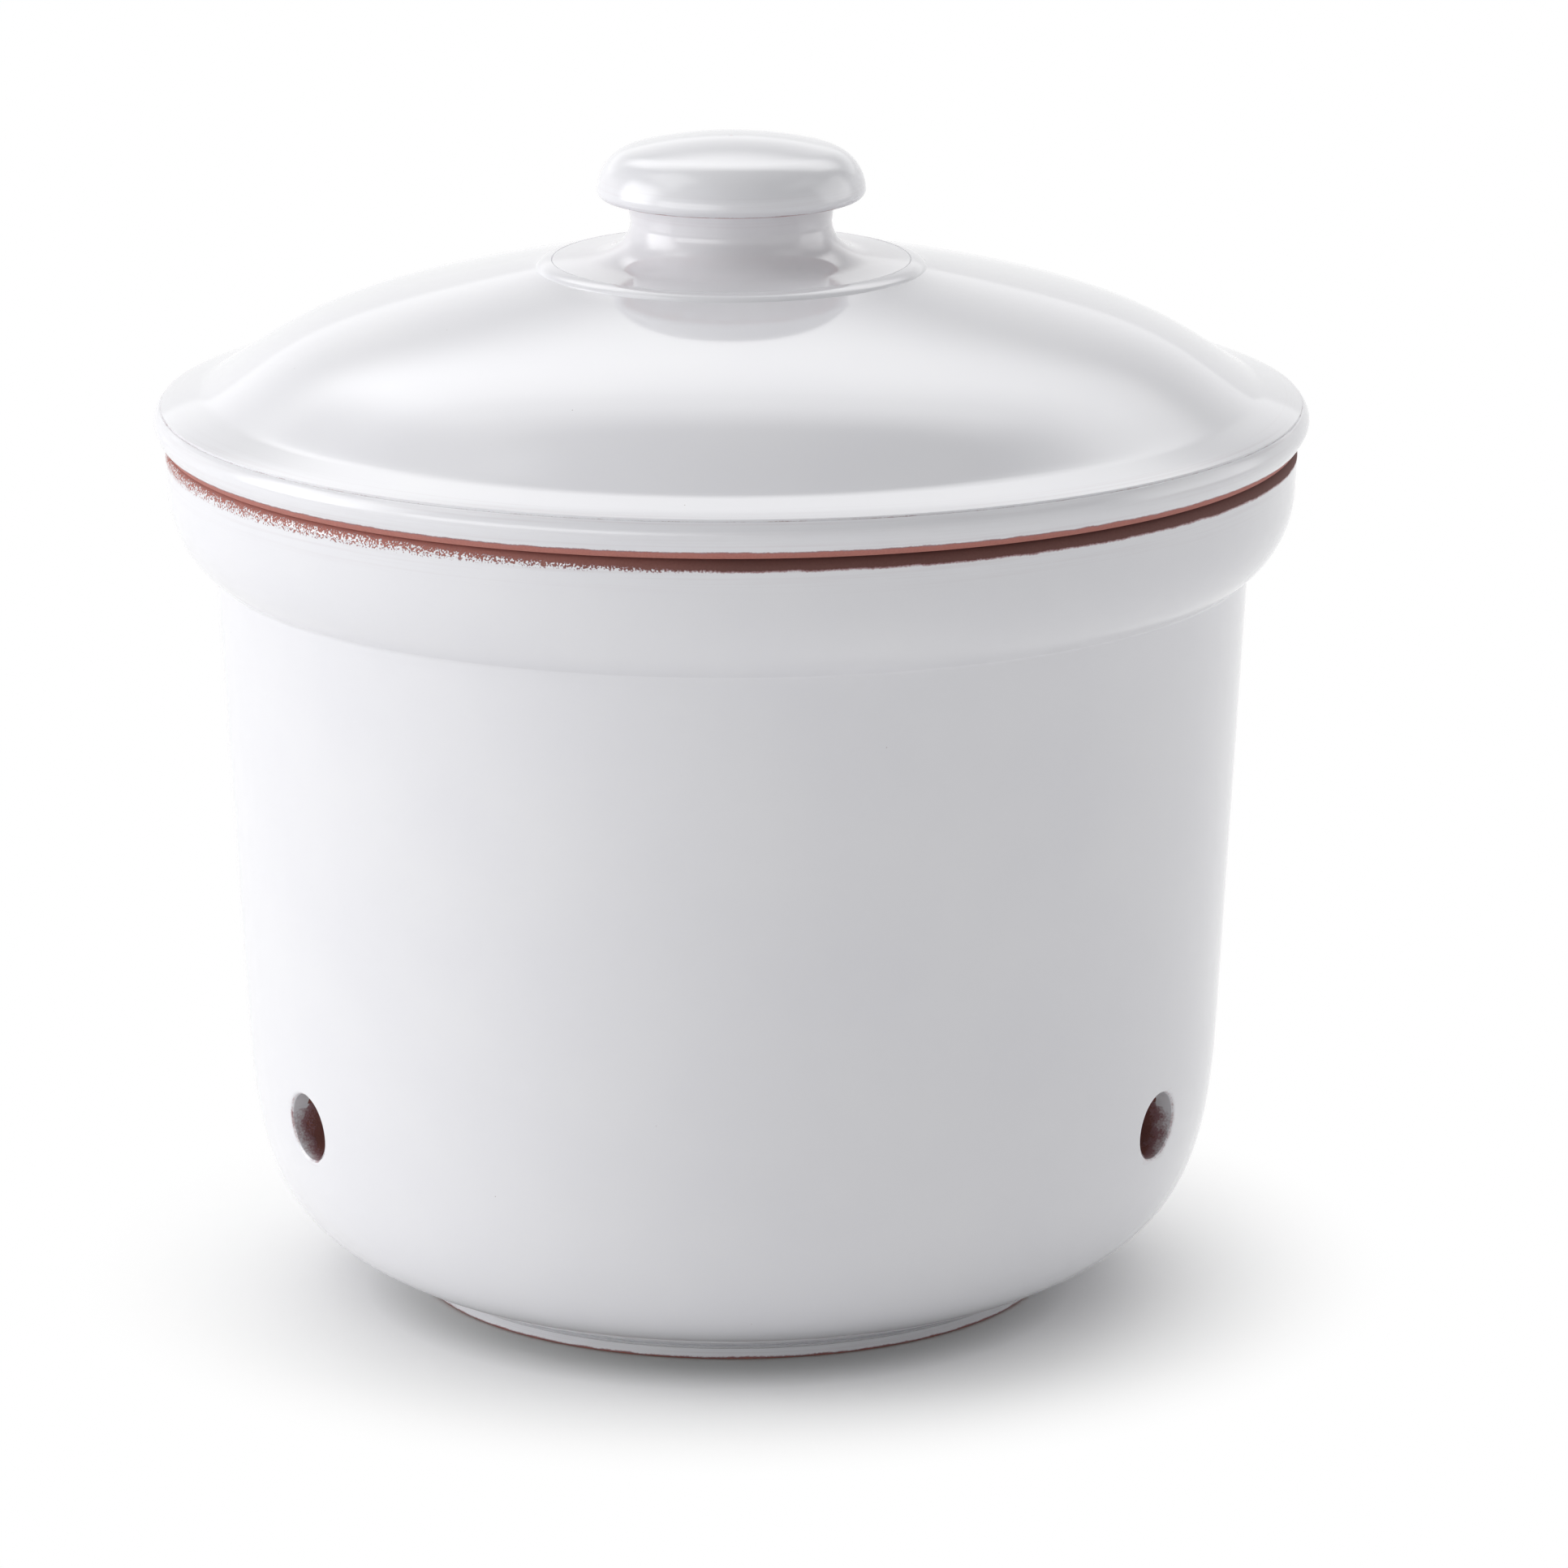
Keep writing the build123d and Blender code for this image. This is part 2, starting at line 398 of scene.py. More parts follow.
def lengths_along(outline):
    """How far each point of an outline lies from its first, along the outline."""
    lengths = [0.0]
    for a, b in zip(outline, outline[1:]):
        lengths.append(lengths[-1] + (b - a).length)
    return lengths


def mark_glaze(piece, outline, first_edge, last_edge, thin_edges=(), elsewhere=None, shade_paint_of=None):
    """Stores at each vertex how far it lies past the edge of the glaze, in millimetres, with bare clay above
    zero. The glaze runs along the outline from first_edge to last_edge. On a thin edge, given by its place
    and how far past the glaze's edge it counts as, the clay shows through again. Where the glaze was put on
    otherwise, elsewhere gives the distance from the place and the outline's own distance. How far along the
    outline the vertex lies is stored too, and how much shade is painted into its clay, from the last
    argument."""
    tree = KDTree(len(outline))
    for i, point in enumerate(outline):
        tree.insert(point.to_3d(), i)
    tree.balance()
    lengths = lengths_along(outline)

    def length_at(place):
        """How far along the outline the point on it lies that is nearest to a place."""
        nearest = tree.find(place.to_3d())[1]
        found = []
        for i in (max(nearest - 1, 0), min(nearest, len(outline) - 2)):
            a, b = outline[i], outline[i + 1]
            share = min(max(intersect_point_line(place, a, b)[1], 0), 1)
            found.append(((a.lerp(b, share) - place).length, lengths[i] + share * (b - a).length))
        return min(found)[1]

    starts, ends = (length_at(Vector(place)) for place in (first_edge, last_edge))
    known = {}
    marks = {"past_edge": [], "along_profile": [], "clay_shade_paint": []}
    for v in piece.data.vertices:
        spot = (round(from_axis(v.co), 3), round(v.co.z / mm, 3))
        if spot not in known:
            here = length_at(Vector(spot))
            near = [bareness - (Vector(spot) - Vector(place)).length for place, bareness in thin_edges]
            known[spot] = here, max(starts - here, here - ends, *near)
        here, bare = known[spot]
        marks["along_profile"].append(here)
        marks["past_edge"].append(elsewhere(v.co, bare) if elsewhere else bare)
        marks["clay_shade_paint"].append(shade_paint_of(v.co) if shade_paint_of else 0.0)
    for name, values in marks.items():
        layer = piece.data.attributes.new(name, "FLOAT", "POINT")
        layer.data.foreach_set("value", values)


# The glaze stops where the rim begins to turn, and just above the bottom of the foot. It runs into a vent by
# vent_run_in at the vent's middle and vent_run_down more at its top, and fades over vent_fade beyond that.
foot_glaze_inset = 0.1
foot_glaze_height = 0.36
rim_glaze_edge = (rim_radius, pot_height - rim_outer_rounding)
foot_glaze_edge = (foot_radius - foot_glaze_inset, foot_glaze_height)
thin_reach = 0.5
vent_run_in = 0.3
vent_run_down = 1.9
vent_fade = 4.5
vent_edge_bareness = 0.15
vent_edge_inset = vent_rounding / 3
vent_tolerance = vent_rounding / 20
# Painted shade: the clay is coloured darker on the rim, under the lid, to this depth below its top, and
# partly inside the vents.
shade_paint_depth = 3.2
vent_shade_paint = 0.6


def from_nearest_vent(place):
    """How far a place is to the side of the axis of the nearest vent, and above it, in millimetres."""
    angle = atan2(place.x, place.y)
    turned_back = angle - round(angle / sector) * sector
    return Vector((from_axis(place) * sin(turned_back), place.z / mm - vent_height))


def shade_painted_at(place):
    """How much shade is painted into the clay here: fully on the rim, under the lid, and partly inside the
    vents.
    """
    if place.z / mm > pot_height - shade_paint_depth:
        return 1.0
    in_vent = from_nearest_vent(place).length < vent_radius + vent_rounding / 2
    return vent_shade_paint if in_vent else 0.0


def vent_glaze(place, bare):
    """How far a place lies past the edge of the glaze that ran in over the edge of the nearest vent, deepest
    from above. The glaze goes thin in there over a longer way than elsewhere, and it is thin on the vent's
    round edge too. Away from the vents, the distance that the outline gives still holds."""
    across, above = from_nearest_vent(place)
    off_centre = Vector((across, above)).length
    if off_centre > vent_radius + 2 * vent_rounding:
        return bare
    depth = radius_at(pot_outside, place.z / mm) - from_axis(place)
    if depth > wall - vent_rounding / 2:
        return bare
    run_in = vent_run_in + vent_run_down * above / vent_radius
    edge = Vector((depth - vent_edge_inset, off_centre - vent_radius - vent_edge_inset)).length
    if off_centre > vent_radius + vent_tolerance:
        return max(bare, -vent_edge_bareness - edge)
    return max((depth - run_in - vent_fade) * thin_reach / vent_fade, -vent_edge_bareness - edge)


mark_glaze(
    pot,
    pot_section,
    foot_glaze_edge,
    rim_glaze_edge,
    elsewhere=vent_glaze,
    shade_paint_of=shade_painted_at,
)


def linear(code):
    """The linear colour that a shader reads for one written as an sRGB hex value, by the sRGB curve."""
    channels = [int(code[i : i + 2], 16) / 255 for i in (0, 2, 4)]
    return [c / 12.92 if c <= 0.04045 else ((c + 0.055) / 1.055) ** 2.4 for c in channels] + [1.0]


def add(tree, kind, inputs, **settings):
    """Adds a node with its settings, and sets each of its inputs to a value or links it to an output."""
    node = tree.nodes.new(kind)
    for name, value in settings.items():
        setattr(node, name, value)
    for name, value in inputs.items():
        if isinstance(value, bpy.types.NodeSocket):
            tree.links.new(value, node.inputs[name])
        else:
            node.inputs[name].default_value = value
    return node.outputs


# White glaze over red earthenware: an opaque tin-white glaze, dipped and fired glossy, on fine red clay. It
# gives long soft reflections, barely rippled by the turning marks under it. Near its edge it goes thin, mauve
# and duller, and it breaks off in a ragged line. Beyond that the clay is matt, grainy and rosy, and on the
# rim under the lid and inside the vents it is painted dark brown as shade. On the left of the rim the glaze
# ends as a white powder, and less shade is painted there. The specks and the grain are drawn about twice as
# coarse as real ones, so that they show.
glaze_white = linear("ebebee")
glaze_shade = linear("e5e5ea")
glaze_thin = linear("9a7478")
pinhole_dark = linear("7a6460")
clay_light = linear("bf7f75")
clay_coarse = linear("a7675d")
shade_paint_clay_colour = linear("6b443e")
shade_paint_coarse_colour = linear("5c3631")
glaze_roughness = 0.08
thin_roughness = 0.45
clay_roughness = 0.85
glaze_ior = 1.6
noise_low, noise_high = 0.3, 0.7
wander_size = 4.0
wander_reach = 0.3
speck_size = 0.45
white_speck, red_speck = -1.0, 0.3
powder_from = 185.0
powder_to = 260.0
powder_least = 0.1
powder_most = 2.0
powdery_shade_paint = 0.15
speck_low, speck_high = 0.4, 0.6
edge_softness = 0.1
drift_size = 30.0
wave_size = 22.0
wave_height = 0.012
turning_step = 0.7
turning_length = 60.0
turning_height = 0.0016
turning_tint = 0.12
turning_detail = 3.0
streak_from = 0.5
streak_reach = 6.0
thinnest = 0.1
peel_size = 1.6
peel_height = 0.0008
glaze_height = 0.06
pinhole_spacing = 14.0
pinhole_radius = 0.2
grain_size = 0.5
grain_detail = 4.0
grain_height = 0.035

glazed_clay = bpy.data.materials.new("white_glaze_on_red_earthenware")
glazed_clay.use_nodes = True
tree = glazed_clay.node_tree
shader = tree.nodes["Principled BSDF"]
spot = add(tree, "ShaderNodeTexCoord", {})["Object"]
past_edge = add(tree, "ShaderNodeAttribute", {}, attribute_name="past_edge")["Fac"]
along = add(tree, "ShaderNodeAttribute", {}, attribute_name="along_profile")["Fac"]

# The ragged edge: a slow wander, and specks that reach further where the glaze is powdery, which is on the
# rim, where shade is painted into the clay, towards the left.
wander = add(tree, "ShaderNodeTexNoise", {"Vector": spot, "Scale": 1 / (wander_size * mm)})["Fac"]
wander = add(
    tree,
    "ShaderNodeMapRange",
    {0: wander, 1: noise_low, 2: noise_high, 3: -wander_reach / 2, 4: wander_reach / 2},
)["Result"]
wandered = add(tree, "ShaderNodeMath", {0: past_edge, 1: wander}, operation="ADD")["Value"]
up_left = add(tree, "ShaderNodeVectorMath", {0: spot, 1: (-1, 0, 1)}, operation="DOT_PRODUCT")["Value"]
powder = add(
    tree,
    "ShaderNodeMapRange",
    {0: up_left, 1: powder_from * mm, 2: powder_to * mm, 3: powder_least, 4: powder_most},
)["Result"]
# The share of shade painted into the clay, on the rim and in the vents, which also sets where the powder
# reaches.
shade_paint_share = add(tree, "ShaderNodeAttribute", {}, attribute_name="clay_shade_paint")["Fac"]
powder = add(
    tree,
    "ShaderNodeMix",
    {0: shade_paint_share, 2: powder_least, 3: powder},
    data_type="FLOAT",
)[0]
specks = add(tree, "ShaderNodeTexNoise", {"Vector": spot, "Scale": 1 / (speck_size * mm)})["Fac"]
specks = add(
    tree,
    "ShaderNodeMapRange",
    {0: specks, 1: speck_low, 2: speck_high, 3: white_speck, 4: red_speck},
)["Result"]
ragged = add(tree, "ShaderNodeMath", {0: specks, 1: powder, 2: wandered}, operation="MULTIPLY_ADD")["Value"]
glazed = add(
    tree,
    "ShaderNodeMapRange",
    {0: ragged, 1: edge_softness, 2: -edge_softness},
    interpolation_type="SMOOTHSTEP",
)["Result"]

# Turning marks: streaks that run round the piece, close together along its profile.
streak_place = add(
    tree,
    "ShaderNodeVectorMath",
    {0: spot, 1: (1 / (turning_length * mm), 1 / (turning_length * mm), 0)},
    operation="MULTIPLY",
)["Vector"]
streak_step = add(tree, "ShaderNodeMath", {0: along, 1: 1 / turning_step}, operation="MULTIPLY")["Value"]
streak_step = add(tree, "ShaderNodeCombineXYZ", {"Z": streak_step})["Vector"]
streak_place = add(tree, "ShaderNodeVectorMath", {0: streak_place, 1: streak_step}, operation="ADD")["Vector"]
turning = add(
    tree,
    "ShaderNodeTexNoise",
    {"Vector": streak_place, "Scale": 1.0, "Detail": turning_detail},
)["Fac"]

# Colours: white glaze that drifts a little, its thin mauve border, a few pinholes, and the grainy clay, with
# shade painted into it on the rim and in the vents, less of it where the glaze is powdery.
drift = add(tree, "ShaderNodeTexNoise", {"Vector": spot, "Scale": 1 / (drift_size * mm)})["Fac"]
glaze = add(tree, "ShaderNodeMix", {0: drift, 6: glaze_white, 7: glaze_shade}, data_type="RGBA")[2]
thin = add(
    tree,
    "ShaderNodeMapRange",
    {0: ragged, 1: -thin_reach, 2: -thinnest},
    interpolation_type="SMOOTHSTEP",
)["Result"]
streaked = add(
    tree,
    "ShaderNodeMapRange",
    {0: turning, 1: streak_from, 2: noise_high, 4: turning_tint},
)["Result"]
near_edge = add(tree, "ShaderNodeMapRange", {0: past_edge, 1: -streak_reach, 2: 0.0})["Result"]
tinted = add(tree, "ShaderNodeMath", {0: streaked, 1: near_edge, 2: thin}, operation="MULTIPLY_ADD")["Value"]
glaze = add(tree, "ShaderNodeMix", {0: tinted, 6: glaze, 7: glaze_thin}, data_type="RGBA")[2]
cells = add(tree, "ShaderNodeTexVoronoi", {"Vector": spot, "Scale": 1 / (pinhole_spacing * mm)})["Distance"]
pinhole = add(
    tree,
    "ShaderNodeMapRange",
    {0: cells, 1: pinhole_radius / pinhole_spacing, 2: 0.0},
    interpolation_type="SMOOTHSTEP",
)["Result"]
glaze = add(tree, "ShaderNodeMix", {0: pinhole, 6: glaze, 7: pinhole_dark}, data_type="RGBA")[2]
grain = add(
    tree,
    "ShaderNodeTexNoise",
    {"Vector": spot, "Scale": 1 / (grain_size * mm), "Detail": grain_detail},
)["Fac"]
clay = add(tree, "ShaderNodeMix", {0: grain, 6: clay_light, 7: clay_coarse}, data_type="RGBA")[2]
# The darker clay painted as shade on the rim and inside the vents.
clay_shade_paint = add(
    tree,
    "ShaderNodeMix",
    {0: grain, 6: shade_paint_clay_colour, 7: shade_paint_coarse_colour},
    data_type="RGBA",
)[2]
# The painted shade is lighter towards the upper left, where the rim is lit and the glaze is powdery.
less_shade_paint = add(
    tree,
    "ShaderNodeMapRange",
    {0: up_left, 1: powder_from * mm, 2: powder_to * mm, 3: 1.0, 4: powdery_shade_paint},
)["Result"]
shade_paint_share = add(tree, "ShaderNodeMath", {0: shade_paint_share, 1: less_shade_paint}, operation="MULTIPLY")["Value"]
clay = add(tree, "ShaderNodeMix", {0: shade_paint_share, 6: clay, 7: clay_shade_paint}, data_type="RGBA")[2]
colour = add(tree, "ShaderNodeMix", {0: glazed, 6: clay, 7: glaze}, data_type="RGBA")[2]
tree.links.new(colour, shader.inputs["Base Color"])
roughness = add(
    tree,
    "ShaderNodeMapRange",
    {0: thin, 3: glaze_roughness, 4: thin_roughness},
)["Result"]
roughness = add(
    tree,
    "ShaderNodeMapRange",
    {0: glazed, 3: clay_roughness, 4: roughness},
)["Result"]
tree.links.new(roughness, shader.inputs["Roughness"])
shader.inputs["IOR"].default_value = glaze_ior

# Relief, in metres: the glaze lies a little above the clay, with slow waves, turning marks and a fine peel.
waves = add(tree, "ShaderNodeTexNoise", {"Vector": spot, "Scale": 1 / (wave_size * mm)})["Fac"]
peel = add(tree, "ShaderNodeTexNoise", {"Vector": spot, "Scale": 1 / (peel_size * mm)})["Fac"]
face = glaze_height * mm
for layer, layer_height in ((waves, wave_height), (turning, turning_height), (peel, peel_height)):
    inputs = {0: layer, 1: layer_height * mm, 2: face}
    face = add(tree, "ShaderNodeMath", inputs, operation="MULTIPLY_ADD")["Value"]
grain = add(tree, "ShaderNodeMath", {0: grain, 1: grain_height * mm}, operation="MULTIPLY")["Value"]
height = add(tree, "ShaderNodeMix", {0: glazed, 2: grain, 3: face}, data_type="FLOAT")[0]
relief = add(tree, "ShaderNodeBump", {"Strength": 1.0, "Distance": 1.0, "Height": height})["Normal"]
tree.links.new(relief, shader.inputs["Normal"])
pot.data.materials.append(glazed_clay)


# Lid. The real one is pressed from the same clay, glazed on top and bare underneath and along its lower edge.
# Its ring drops inside the mouth and keeps it centred, and its neck is hollow. It lies loose on the rim.
lid_overhang = 2.4
lid_radius = rim_radius + lid_overhang
lid_edge_inset = 2.7
lid_nose_height = 4.9
lid_nose_drop = 1.5
lid_edge_rounding = 0.5
lid_edge_pull = 2 / 3
lid_glaze_end = 0.4
bead_rise = 3.0
bead_inset = 1.25
bead_rounding = 0.2
groove_depth = 0.4
groove_width = 0.5
groove_bareness = -0.35
flange_inset = 4.4
flange_width = 6.2
flange_rise = 3.5
flange_slope = radians(17.6)
flange_rounding = 7.0
dome_rise = 26.0
dome_foot_slope = radians(32.7)
dome_top_slope = radians(10.9)
dome_top_pull = 0.716
dome_foot_pull = 0.264
lid_wall = 7.5
boss_foot_radius = 42.2
boss_bevel = 1.4
boss_step = 2.1
boss_line_inset = 3.6
boss_line_height = 1.57
boss_line_width = 0.25
boss_line_depth = 0.2
boss_lip_inset = 0.15
boss_lip_height = 0.35
boss_ring_pull = 1.2
boss_ring_slope = radians(9)
boss_lip_slope = radians(42)
boss_foot_rounding = 0.12
boss_land = 8.8
flare_height = 7.9
waist_radius = 21.75
neck_flare = 0.75
neck_height = 5.9
neck_wall = 6.75
ring_clearance = 2.5
ring_width = 6.6
ring_depth = 10.0
ring_rounding = 1.5
ring_root_lift = 5.0
quarter_pull = 0.5523

nose = Vector((lid_radius, pot_height + lid_nose_height))
low_edge = Vector((lid_radius - lid_edge_inset, pot_height))
edge_corner = nose - Vector((0, lid_nose_drop))
bead_top = Vector((lid_radius - bead_inset, nose.y + bead_rise))
groove = bead_top - Vector((groove_depth, 0))
groove_top = groove + Vector((0, groove_width))
shoulder_radius = lid_radius - flange_inset
dome_foot = Vector((shoulder_radius - flange_width, bead_top.y + flange_rise))
shoulder = dome_foot + heading(-flange_slope) * flange_width / cos(flange_slope)
boss_foot = Vector((boss_foot_radius, dome_foot.y + dome_rise))
boss_edge = boss_foot + Vector((-boss_bevel, boss_step))
flare_foot = boss_edge - Vector((boss_land, 0))
boss_line = boss_foot + Vector((-boss_line_inset, boss_line_height))
boss_ring = boss_line + Vector((boss_line_width, 0))
boss_lip = boss_foot + Vector((-boss_lip_inset, boss_lip_height))
waist = Vector((waist_radius, boss_edge.y + flare_height))
neck_edge = waist + Vector((neck_flare, neck_height))
bore_edge = Vector((waist.x - neck_wall, neck_edge.y))
bore_low = Vector((bore_edge.x, waist.y))
ring_radius = mouth_radius - ring_clearance
ring_inner_radius = ring_radius - ring_width
ring_low = pot_height - ring_depth
inside_foot = Vector((ring_inner_radius, pot_height + ring_root_lift))
inside_top = Vector((boss_foot_radius - lid_wall / 2, boss_foot.y - lid_wall))
inside_flare = Vector((flare_foot.x, inside_top.y))


def quarter_pulls(start, corner, end):
    """The two pulls of a quarter of an ellipse that turns round this corner."""
    return start.lerp(corner, quarter_pull), end.lerp(corner, quarter_pull)


def dome_pulls(top, foot):
    """The two pulls of the dome's curve, which is steep at its foot and nearly flat at its top."""
    span = foot.x - top.x
    top_pull = top + heading(-dome_top_slope) * span * dome_top_pull
    foot_pull = foot + heading(pi - dome_foot_slope) * span * dome_foot_pull
    return top_pull, foot_pull


lid_section = section([
    (bore_edge,),
    (neck_edge,),
    (waist,),
    (flare_foot, *quarter_pulls(waist, Vector((waist.x, flare_foot.y)), flare_foot)),
    (boss_line,),
    (boss_line + Vector((boss_line_width / 2, -boss_line_depth)),),
    (boss_ring,),
    (
        boss_lip,
        boss_ring + heading(-boss_ring_slope) * boss_ring_pull,
        boss_lip - heading(-boss_lip_slope) * boss_ring_pull,
    ),
    (boss_foot, boss_foot_rounding),
    (dome_foot, *dome_pulls(boss_foot, dome_foot), flange_rounding),
    (shoulder,),
    (groove_top, *round_arc(shoulder, heading(-flange_slope), groove_top)),
    (groove,),
    (bead_top, bead_rounding),
    (nose, *reversed(round_arc(nose, heading(pi / 2), bead_top))),
    (
        low_edge,
        nose.lerp(edge_corner, lid_edge_pull),
        low_edge.lerp(edge_corner, lid_edge_pull),
        lid_edge_rounding,
    ),
    ((ring_radius, low_edge.y), ring_rounding),
    ((ring_radius, ring_low), ring_rounding),
    ((ring_inner_radius, ring_low), ring_rounding),
    (inside_foot,),
    (inside_top, *reversed(dome_pulls(inside_top, inside_foot))),
    (inside_flare,),
    (bore_low, *quarter_pulls(inside_flare, Vector((bore_low.x, inside_flare.y)), bore_low)),
    (bore_edge,),
])
lid = turned("lid_dome", lid_section, sector, turn_steps // vent_count)
third_repeated(lid)
finished(lid, "lid", "lid")
lid_glaze_edge = low_edge.lerp(edge_corner, lid_glaze_end)
mark_glaze(lid, lid_section, neck_edge, lid_glaze_edge, thin_edges=((groove, groove_bareness),))
lid.data.materials.append(glazed_clay)


# Knob. The cap is thrown apart, like a mushroom, and stuck on the neck with slip before the glaze goes on.
# The glaze draws back from its sharp lower lip, so a thin red line of clay shows there.
cap_overhang = 6.55
cap_lip_inset = 1.35
cap_lip_drop = 0.6
cap_lip_rounding = 0.25
cap_lip_bareness = 0.3
cap_side_height = 1.1
neck_joint_rounding = 0.4
crown_inset = 7.05
crown_height = 9.8
crown_rise = 2.7
cap_bore_depth = 5.0
cap_bore_bevel = 2.0

cap_side = neck_edge + Vector((cap_overhang, cap_side_height))
cap_lip = Vector((cap_side.x - cap_lip_inset, neck_edge.y - cap_lip_drop))
crown_edge = Vector((cap_side.x - crown_inset, neck_edge.y + crown_height))
crown_top = Vector((0, crown_edge.y + crown_rise))
cap_bore_top = neck_edge.y + cap_bore_depth
crown_pulls = round_arc(crown_top, heading(0), crown_edge)
crown_heading = (crown_edge - crown_pulls[1]).normalized()

knob_section = section([
    (crown_top,),
    (crown_edge, *crown_pulls),
    (cap_side, *round_arc(crown_edge, crown_heading, cap_side)),
    (cap_lip, *round_arc(cap_side, heading(-pi / 2), cap_lip), cap_lip_rounding),
    (neck_edge, neck_joint_rounding),
    (bore_edge,),
    ((bore_edge.x, cap_bore_top - cap_bore_bevel),),
    ((bore_edge.x - cap_bore_bevel, cap_bore_top),),
    ((0, cap_bore_top),),
])
knob = turned("knob_cap", knob_section, sector, turn_steps // vent_count)
third_repeated(knob)
finished(knob, "lid", "lid_knob")
mark_glaze(knob, knob_section, crown_top, neck_edge, thin_edges=((cap_lip, cap_lip_bareness),))
knob.data.materials.append(glazed_clay)


# Studio. The pot stands on a matt white floor that keeps its shadow and is plain white further out, as the
# background is. Soft boxes hang behind the pot and high at its sides, a tall one stands on its left and a
# weaker one on its right, and a low one fills its front from the left. Sizes here are in metres.
floor_size = 12.0
floor_white = linear("f3f3f3")
floor_contact = linear("bfc0be")
contact_forward = 0.012
contact_left = 0.003
contact_low = 0.056
contact_high = 0.078
shadow_low = 0.076
shadow_high = 0.148
world_glow = 0.37
backdrop_low = sin(radians(8))
backdrop_high = sin(radians(28))
ceiling_glow = 0.25
box_distance = 2.2
aim_height = 0.15

bpy.ops.mesh.primitive_plane_add(size=floor_size, location=(0, 0, 0))
floor = bpy.context.object
floor.name = "floor"
white_floor = bpy.data.materials.new("matt_white_studio_floor")
white_floor.use_nodes = True
tree = white_floor.node_tree
tree.nodes.clear()
spot = add(tree, "ShaderNodeTexCoord", {})["Object"]
from_pot = add(tree, "ShaderNodeVectorMath", {0: spot}, operation="LENGTH")["Value"]
ray = add(tree, "ShaderNodeLightPath", {})
seen = add(
    tree,
    "ShaderNodeMath",
    {0: ray["Is Camera Ray"], 1: ray["Is Glossy Ray"]},
    operation="MAXIMUM",
)["Value"]
seen = add(tree, "ShaderNodeMath", {0: seen, 1: ray["Is Transmission Ray"]}, operation="MAXIMUM")["Value"]
past_shadow = add(
    tree,
    "ShaderNodeMapRange",
    {0: from_pot, 1: shadow_low, 2: shadow_high},
    interpolation_type="SMOOTHSTEP",
)["Result"]
past_shadow = add(tree, "ShaderNodeMath", {0: past_shadow, 1: seen}, operation="MULTIPLY")["Value"]

# Little light gets in right at the foot, so the floor is darker there.
from_contact = add(
    tree,
    "ShaderNodeVectorMath",
    {0: spot, 1: (-contact_left, -contact_forward, 0)},
    operation="DISTANCE",
)["Value"]
past_contact = add(tree, "ShaderNodeMapRange", {0: from_contact, 1: contact_low, 2: contact_high})["Result"]
paint = add(
    tree,
    "ShaderNodeMix",
    {0: past_contact, 6: floor_contact, 7: floor_white},
    data_type="RGBA",
)[2]
lit = add(tree, "ShaderNodeBsdfDiffuse", {"Color": paint})["BSDF"]
white = add(tree, "ShaderNodeEmission", {"Color": (1, 1, 1, 1), "Strength": 1.0})["Emission"]
surface = add(tree, "ShaderNodeMixShader", {0: past_shadow, 1: lit, 2: white})["Shader"]
add(tree, "ShaderNodeOutputMaterial", {"Surface": surface})
floor.data.materials.append(white_floor)

# The world glows evenly on the pot. Its glossy glaze sees a white backdrop that fades to a dim ceiling.
world = bpy.data.worlds.new("white_studio")
bpy.context.scene.world = world
world.use_nodes = True
tree = world.node_tree
background = tree.nodes["Background"]
background.inputs["Color"].default_value = (1, 1, 1, 1)
toward = add(tree, "ShaderNodeTexCoord", {})["Generated"]
upward = add(tree, "ShaderNodeSeparateXYZ", {0: toward})["Z"]
backdrop = add(
    tree,
    "ShaderNodeMapRange",
    {0: upward, 1: backdrop_low, 2: backdrop_high, 3: 1.0, 4: ceiling_glow},
    interpolation_type="SMOOTHSTEP",
)["Result"]
ray = add(tree, "ShaderNodeLightPath", {})
mirrored = add(
    tree,
    "ShaderNodeMath",
    {0: ray["Is Glossy Ray"], 1: ray["Is Transmission Ray"]},
    operation="MAXIMUM",
)["Value"]
strength = add(tree, "ShaderNodeMix", {0: mirrored, 2: world_glow, 3: backdrop}, data_type="FLOAT")[0]
strength = add(tree, "ShaderNodeMix", {0: ray["Is Camera Ray"], 2: strength, 3: 1.0}, data_type="FLOAT")[0]
tree.links.new(strength, background.inputs["Strength"])


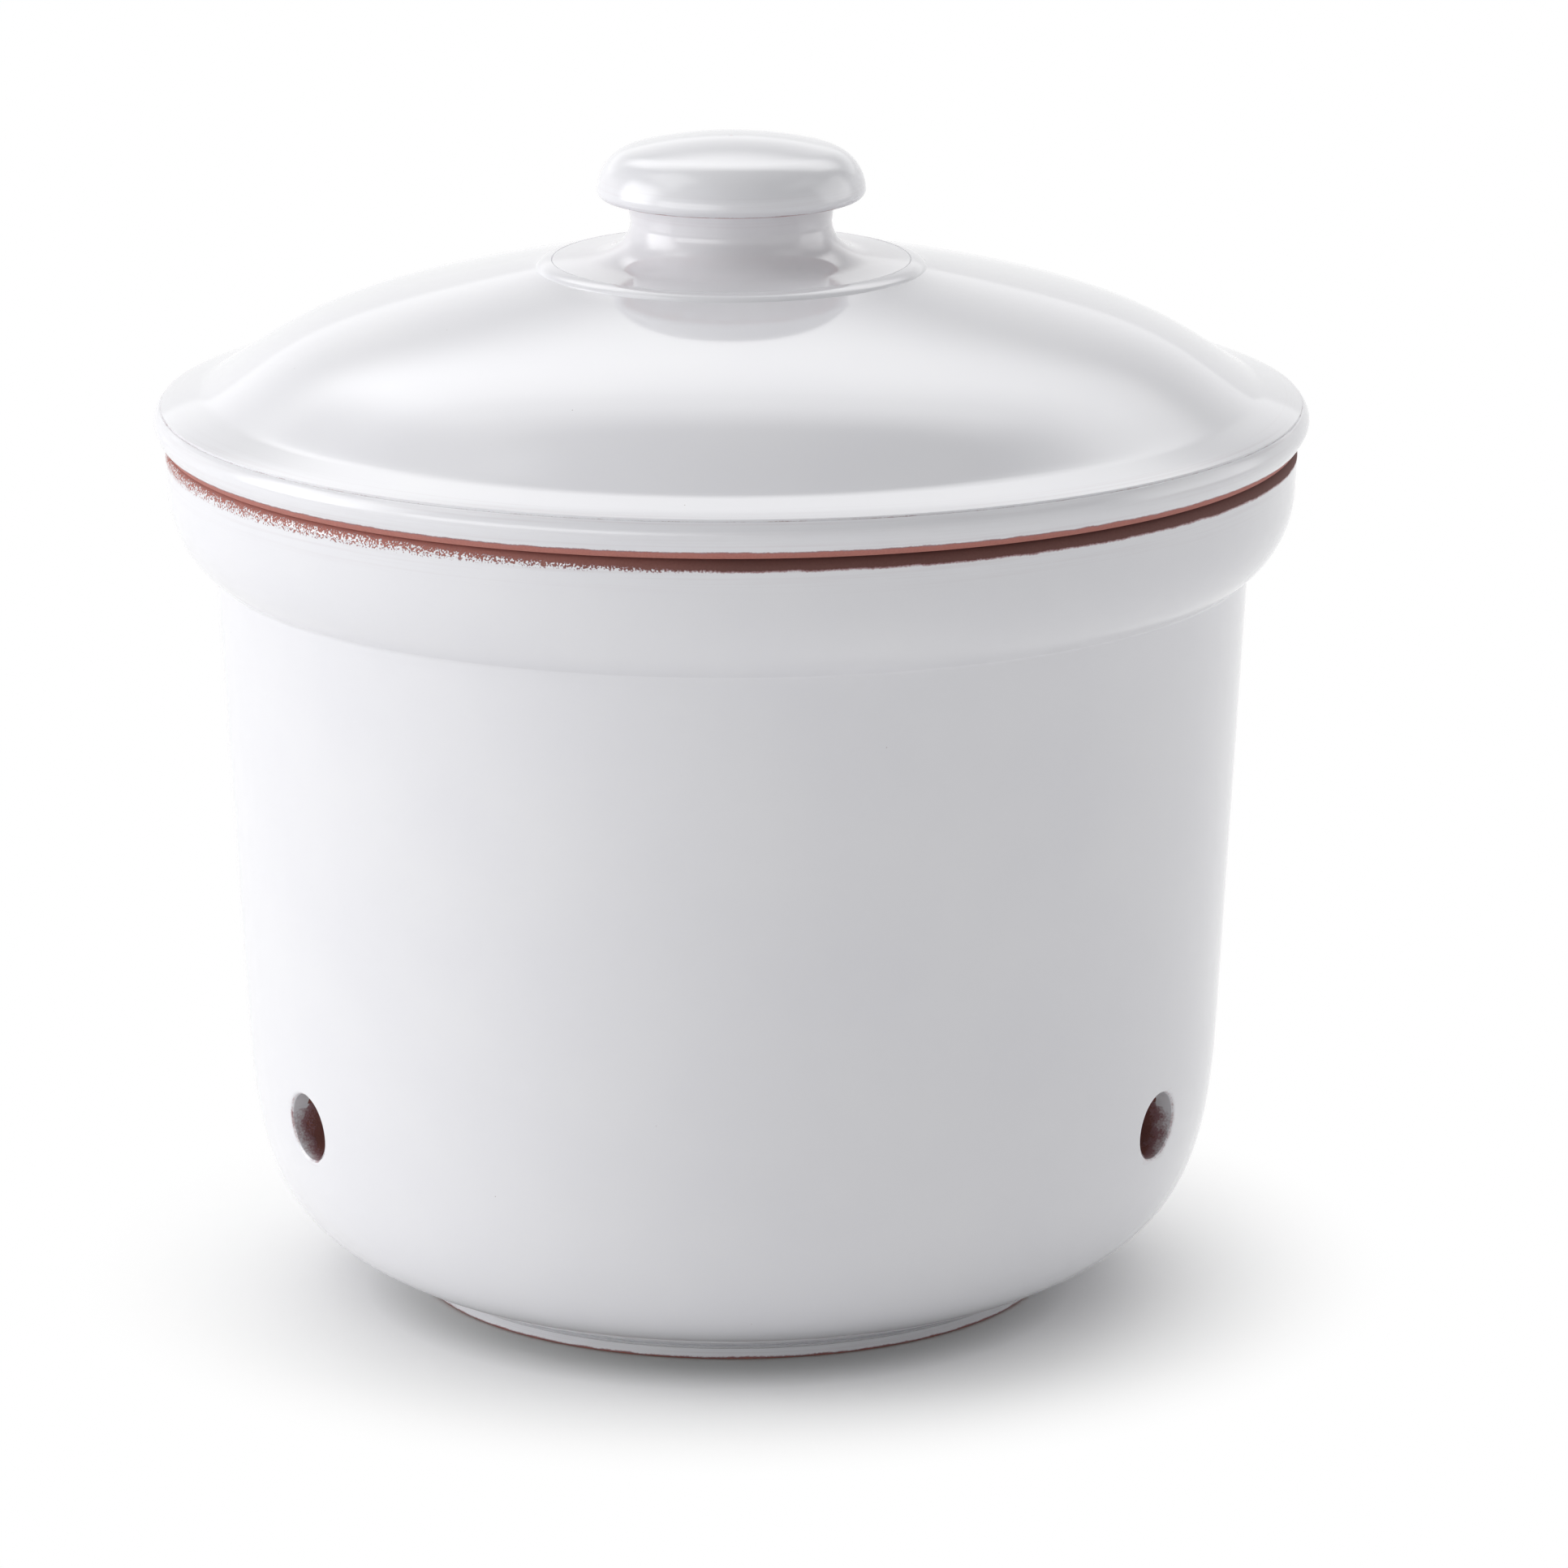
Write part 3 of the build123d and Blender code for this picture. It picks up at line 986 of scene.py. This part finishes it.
def soft_box(name, azimuth, elevation, width, height, radiance, fades):
    """A soft box that faces the pot from this azimuth, counterclockwise from the front as seen from above,
    and this elevation, both in degrees. It fades out towards its side of lower azimuth, its side of higher
    azimuth, its bottom and its top, over these shares of its size."""
    data = bpy.data.lights.new(name, "AREA")
    data.shape = "RECTANGLE"
    data.size, data.size_y = width, height
    data.energy = radiance * width * height * pi
    data.use_nodes = True
    tree = data.node_tree
    place = add(tree, "ShaderNodeSeparateXYZ", {0: add(tree, "ShaderNodeNewGeometry", {})["Parametric"]})
    glow = 1.0
    for axis, edge, inward, fade in zip("XXYY", (0, 1, 0, 1), (1, -1, 1, -1), fades):
        side = add(
            tree,
            "ShaderNodeMapRange",
            {0: place[axis], 1: edge, 2: edge + inward * fade},
            interpolation_type="SMOOTHSTEP",
        )["Result"]
        glow = add(tree, "ShaderNodeMath", {0: glow, 1: side}, operation="MULTIPLY")["Value"]
    tree.links.new(glow, tree.nodes["Emission"].inputs["Strength"])
    box = bpy.data.objects.new(name, data)
    bpy.context.scene.collection.objects.link(box)
    across = box_distance * cos(radians(elevation))
    box.location = (
        across * sin(radians(azimuth)),
        -across * cos(radians(azimuth)),
        aim_height + box_distance * sin(radians(elevation)),
    )
    toward_pot = Vector((0, 0, aim_height)) - box.location
    box.rotation_euler = toward_pot.to_track_quat("-Z", "Y").to_euler()
    box.visible_camera = False


soft_box("back_box", 175, 47, 3.2, 1.6, 2.2, fades=(0.2, 0.2, 0.45, 0.45))
soft_box("back_low_box", 180, 28, 3.6, 1.2, 0.4, fades=(0.1, 0.1, 0.01, 0.3))
soft_box("back_high_box", 180, 62, 2.4, 0.7, 0.75, fades=(0.2, 0.2, 0.4, 0.4))
soft_box("left_box", -88, 20, 2.2, 1.85, 3.25, fades=(0.3, 0.4, 0.02, 0.35))
soft_box("left_high_box", -75, 44, 1.6, 0.8, 0.7, fades=(0.3, 0.3, 0.3, 0.3))
soft_box("left_top_box", -90, 60, 1.8, 1.2, 1.3, fades=(0.3, 0.3, 0.3, 0.3))
soft_box("front_left_box", -32, 7, 3.2, 0.75, 1.95, fades=(0.1, 0.4, 0.02, 0.3))
soft_box("right_box", 104, 18, 2.1, 1.75, 1.1, fades=(0.25, 0.25, 0.02, 0.3))
soft_box("right_high_box", 80, 45, 1.6, 0.8, 0.5, fades=(0.3, 0.3, 0.3, 0.3))

# The camera stands where the photograph's rings and outline put it, for a pot of this size.
camera_place = (0, -1.78491, 0.56161)
camera_dip = radians(14.21)
camera_turn = radians(-0.365)
camera_data = bpy.data.cameras.new("camera")
camera = bpy.data.objects.new("camera", camera_data)
bpy.context.scene.collection.objects.link(camera)
camera.location = camera_place
camera.rotation_euler = (pi / 2 - camera_dip, 0, camera_turn)
camera_data.sensor_width = 36
camera_data.lens = 192.97
bpy.context.scene.camera = camera
bpy.context.scene.view_settings.view_transform = "Standard"
